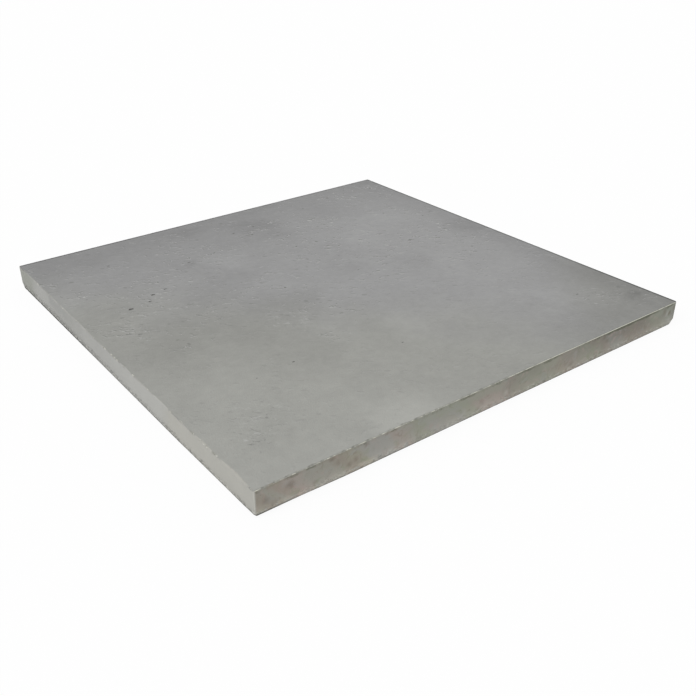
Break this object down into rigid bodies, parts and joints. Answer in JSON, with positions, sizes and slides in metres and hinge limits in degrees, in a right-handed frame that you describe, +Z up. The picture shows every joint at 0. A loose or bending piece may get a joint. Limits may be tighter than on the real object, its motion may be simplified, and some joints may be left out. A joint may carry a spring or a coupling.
{
  "type": "paving tile",
  "caption": "Flat square porcelain paving tile with a fine arris round its walking face, a bevelled foot and a grid of shallow keying pockets pressed into its back.",
  "frame": {"origin": "middle of the bed face, at the crossing of two keying ribs, level with the surface that the tile lies on", "axes": "+Z up out of the walking face; the square-edged sides face -X and -Y, and the sides with a bevelled foot face +X and +Y"},
  "size_m": [0.6, 0.6, 0.03],
  "materials": {
    "porcelain": "matt cement-look grey with soft clouding, fired and unpolished; sides show the bare ground body"
  },
  "bodies": {
    "root": {"tile": "porcelain"}
  },
  "joints": []
}
